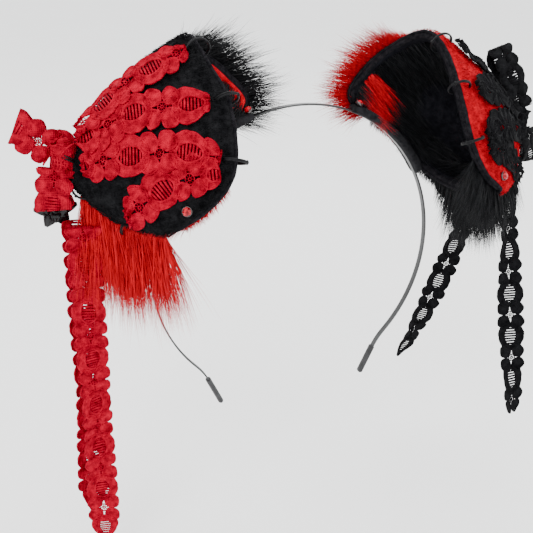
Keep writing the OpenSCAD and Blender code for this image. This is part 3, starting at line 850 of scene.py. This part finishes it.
def gem(shape_stone, shape_cup, p, n, size):
    n = unit(n)
    u = unit(np.cross(n, [0.3, 0.8, 0.2]))
    w = np.cross(n, u)
    k = 8
    h = math.pi / k

    def ring(r, z, shift=0.0, count=k):
        b = np.arange(count) * 2 * math.pi / count + shift
        return p + r * (np.cos(b)[:, None] * u + np.sin(b)[:, None] * w) + n * z
    table, star, girdle, keel = (ring(size * 0.26, size * 0.62), ring(size * 0.38, size * 0.50, h),
                                 ring(size * 0.5, size * 0.34), ring(size * 0.46, size * 0.18))
    verts = np.concatenate([table, star, girdle, keel])
    faces = [tuple(range(k)), tuple(3 * k + j for j in range(k))[::-1]]
    for j in range(k):
        m = (j + 1) % k
        faces += [(j, k + j, m), (k + j, 2 * k + j, 2 * k + m), (m, k + j, 2 * k + m),
                  (j, 2 * k + j, k + j), (2 * k + j, 3 * k + j, 3 * k + m, 2 * k + m)]
    shape_stone.add(verts, faces)
    prof = [(0.40, -0.02), (0.54, 0.0), (0.56, 0.22), (0.50, 0.26), (0.44, 0.2)]
    rows = np.stack([ring(size * r, size * z, 0, 24) for r, z in prof])
    shape_cup.add(rows.reshape(-1, 3), grid_faces(len(prof), 24, wrap=True))
    for j in range(4):
        b = j * math.pi / 2 + 0.3
        d = np.cos(b) * u + np.sin(b) * w
        shape_cup.add(*tube(np.array([p + d * size * 0.52 + n * size * 0.1,
                                      p + d * size * 0.52 + n * size * 0.36,
                                      p + d * size * 0.42 + n * size * 0.46]), size * 0.06, 6))


def build_studs(side):
    body = side + "_ear"
    stones, cups = Shape(), Shape()
    where = [(off_seat(skin(4.3, 0.9, PANEL_TOP + 0.2)), turn(cup_normal(4.3, 0.9))),
             (off_seat(np.array(seat_point(SADDLE_L / 2 - 1, -SADDLE_W / 4, 0.1))),
              turn(np.array([0, 0, 1.0])))]
    for p, n in where:
        gem(stones, cups, p, n, STONE_SIZE)
    ob = shape_object(side + "_faceted_stones", stones, RUBY, body, side, smooth=False,
                      slot="ruby_stud")
    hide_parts(side + "_studs")
    shape_object(side + "_stone_settings", cups, SETTING, body, side, slot="ruby_stud")


def build_rosette(side):
    body = side + "_ear"
    c = KNOT + np.array([-3.2, 8.0, -19.5])
    shape = Shape()
    rng = np.random.default_rng(3)
    for layer, (count, reach, width, tip) in enumerate(((6, 7.4, 5.4, 1.1), (5, 4.8, 3.6, 1.7))):
        for i in range(count):
            a = 2 * math.pi * (i + 0.5 * layer) / count + rng.normal(0, 0.05)
            d = np.array([math.cos(a), 0, math.sin(a)])
            e = np.array([-math.sin(a), 0, math.cos(a)])
            f = np.array([0, -1.0, 0])
            t = np.linspace(0.06, 1, 10)[:, None]
            x = np.linspace(-1, 1, 9)[None, :]
            half = width / 2 * np.sin(math.pi * np.clip(t, 0, 1) ** 0.75 * 0.86 + 0.25)
            rise = (0.5 + layer * 0.9 + tip * np.sin(t * 2.2) + 0.7 * x ** 2 * t
                    + 0.25 * np.cos(3 * x) * t + (0.35 if i % 2 else 0))
            top = (c + d * (reach * t)[..., None] + e * (half * x)[..., None]
                   + f * rise[..., None])
            low = top - f * 0.35
            v, fc = slab(top, low)
            shape.add(v, fc)
    k = np.linspace(0, 1, 9)
    bud = np.array([c + np.array([0.2 * math.sin(9 * t), -(1.0 + 2.6 * t), 0.2 * math.cos(9 * t)])
                    for t in k])
    shape.add(*tube(bud, [0.8, 1.6, 1.9, 1.9, 1.7, 1.5, 1.2, 0.8, 0.4], 12))
    ob = shape_object(side + "_glossy_rosette", shape, GLOSS, body, side, slot="gloss_petals")
    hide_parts(side + "_rosette")


KNOT_R, KNOT_HALF = 3.5, 6.2
# Half the opening of a bow's loop, and the spans of a tail's route
LOOP_HALF, TAIL_STEPS = 2.2, 6
# Length of the lace wound round the knot, and its distance from the knot's middle
WRAP_L, WRAP_R = 27.0, 3.9


def build_knot(side, material):
    body = side + "_ear"
    shape = Shape()
    rows, cols = 26, 72
    th = np.linspace(0.08, math.pi - 0.08, rows)[:, None]
    ph = np.linspace(0, 2 * math.pi, cols, endpoint=False)[None, :]
    pleat = 1 + 0.085 * np.cos(9 * ph + 2.2 * np.cos(th)) + 0.03 * np.cos(23 * ph)
    waist = 1 - 0.18 * np.exp(-((th - math.pi / 2) / 0.22) ** 2)
    r = KNOT_R * np.sin(th) ** 0.7 * pleat * waist
    p = np.stack([KNOT[0] + r * np.cos(ph), KNOT[1] + r * np.sin(ph),
                  np.broadcast_to(KNOT[2] + KNOT_HALF * np.cos(th), r.shape)], -1)
    faces = grid_faces(rows, cols, wrap=True) + [tuple(range(cols)),
                                                tuple((rows - 1) * cols + j
                                                      for j in range(cols))[::-1]]
    shape.add(p.reshape(-1, 3), faces)
    wrap = lace_pattern(WRAP_L, 4.0)
    flat_verts = wrap.verts()
    a = flat_verts[:, 0] / WRAP_L * 2 * math.pi + 2.6
    lean = 0.35 * np.sin(a)
    w = flat_verts[:, 1] * (1 - 0.12 * np.cos(2 * a))
    rr = WRAP_R + flat_verts[:, 2] + 0.9 * (w / 6) ** 2 + 0.35 * np.cos(3 * a)
    shape.add(np.stack([KNOT[0] + rr * np.cos(a), KNOT[1] + rr * np.sin(a),
                        KNOT[2] + w * 0.95 + lean * 4], -1), wrap.f)
    ob = shape_object(side + "_bow_knot_gathers", shape, material, body, side,
                      slot="red_lace" if side == "left" else "black_lace")
    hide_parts(side + "_bow_knot")


def bow_route(start, direction, across, reach):
    n = unit(np.cross(direction, across))
    t = unit(direction)
    fold = LOOP_HALF
    pts = [-n * 0.6, t * reach * 0.35 - n * fold, t * reach * 0.8 - n * fold, t * reach,
           t * reach * 0.8 + n * fold, t * reach * 0.35 + n * fold, n * 0.6]
    return np.array(pts) + KNOT + np.array(start)


def tail_route(top, length, lean):
    t = np.arange(TAIL_STEPS + 1) / TAIL_STEPS
    top = KNOT + np.array(top)
    return np.stack([top[0] + lean[0] * t * t, top[1] + lean[1] * t
                     + 1.2 * np.sin(np.radians(240 * t)), top[2] - length * t], -1)


def point_keep(length):
    """Leaves out the figures that a tail's point is too narrow for."""
    return lambda u: u + POINT_ROOM < length


# Loops: name, start from the knot, direction, width direction, reach.
# Tails: name, body, top from the knot, length, how far the end leans.
LOOPS = {
    "left": [("up", [-3, 0, 2], [-0.79, 0, 0.61], [-0.45, 0, -0.89], 14),
             ("down", [-3, -2, -3.5], [-0.15, -0.1, -1], [1, -0.3, 0], 14)],
    "right": [("up", [-4, 3, 4], [0.33, 0.3, 0.9], [1, 0, -0.2], 28),
              ("down", [-3, -2, -3.5], [-0.2, -0.1, -1], [1, -0.3, 0], 14)],
}
TAILS = {
    "left": [("tail", "left_tails", [3.3, -7, -22.5], 140, [-0.5, 2, 0]),
             ("rear_tail", "left_tails", [3.3, 1, -22.5], 128, [-3.5, 0, 0])],
    "right": [("tail", "right_tail", [4, -4, -22.5], 110, [6, -32, 0]),
              ("rear_tail", "right_rear_tail", [4, 13, -22.5], 106, [27.5, 17, 0])],
}


def build_lace(side):
    material = RED_LACE if side == "left" else BLACK_LACE
    body = side + "_ear"
    build_knot(side, material)
    for k in range(4):
        lace_object(f"{side}_lace_ribbon_{k + 1}", f"{side}_lace_{k + 1}", material, side, body,
                    band_mapper(k), (3.5, 12.0, 8.0, 5.0)[k])
    for i, (name, start, direction, across, reach) in enumerate(LOOPS[side]):
        mapper = ribbon_mapper(bow_route(start, direction, across, reach), across, wave=0.35)
        lace_object(f"{side}_bow_{name}_ribbon", f"{side}_bow_loop_{name}", material, side, body,
                    mapper, (5.0, 8.5)[i])
    for i, (name, tail_body, top, length, lean) in enumerate(TAILS[side]):
        mapper = ribbon_mapper(tail_route(top, length, lean), [1, 0, 0], 0.32, 0.8, 0.4, POINT_L)
        lace_object(f"{side}_{name}_ribbon", f"{side}_{name}", material, side, tail_body, mapper,
                    4.0 + 9 * i, point_keep(length))


for side in ("left", "right"):
    build_seat(side)
    build_ear(side)
    build_lace(side)
    build_threads(side)
    build_studs(side)
    build_rosette(side)


# ---- Floor, light and camera ----------------------------------------------------------
def flat_material(name, colour):
    m = principled(name, colour, 0.85)
    tint(m, tuple(c * 0.985 for c in colour), colour, 6)
    return m


FLOOR_Z = -0.1133
FLOOR_HALF = 8
floor_mesh = bpy.data.meshes.new("floor")
floor_mesh.from_pydata([(x * FLOOR_HALF, y * FLOOR_HALF, FLOOR_Z)
                        for x, y in ((-1, -1), (1, -1), (1, 1), (-1, 1))], [], [(0, 1, 2, 3)])
floor = bpy.data.objects.new("floor", floor_mesh)
bpy.context.scene.collection.objects.link(floor)
floor_mesh.materials.append(flat_material("pale_floor", (0.92, 0.92, 0.92)))

world = bpy.data.worlds.new("studio")
bpy.context.scene.world = world
world.use_nodes = True
world.node_tree.nodes["Background"].inputs["Color"].default_value = (0.97, 0.98, 0.98, 1)
world.node_tree.nodes["Background"].inputs["Strength"].default_value = 2.3


def area_light(name, at, to, size, power):
    light = bpy.data.lights.new(name, "AREA")
    light.shape = "SQUARE"
    light.size = size
    light.energy = power
    ob = bpy.data.objects.new(name, light)
    ob.location = at
    ob.rotation_euler = (Vector(to) - Vector(at)).to_track_quat("-Z", "Y").to_euler()
    bpy.context.scene.collection.objects.link(ob)


area_light("key", (-0.7, -0.7, 0.9), (0, 0, 0), 0.7, 9)
area_light("fill", (0.9, -0.5, 0.6), (0, 0, 0), 0.9, 4)
area_light("top", (0.1, 0.3, 1.1), (0, 0, 0), 0.8, 5)

camera = bpy.data.cameras.new("camera")
camera.lens = 49.49
camera.sensor_width = 36
camera.clip_start = 0.01
cam = bpy.data.objects.new("camera", camera)
bpy.context.scene.collection.objects.link(cam)
right_v = Vector((0.91644, -0.39975, 0.01828))
up_v = Vector((0.13591, 0.35389, 0.92536))
back_v = -Vector((0.37638, 0.84555, -0.37865))
view = Matrix((right_v, up_v, back_v)).transposed().to_4x4()
view.translation = Vector((-0.12837, -0.25654, 0.11191))
cam.matrix_world = view
bpy.context.scene.camera = cam
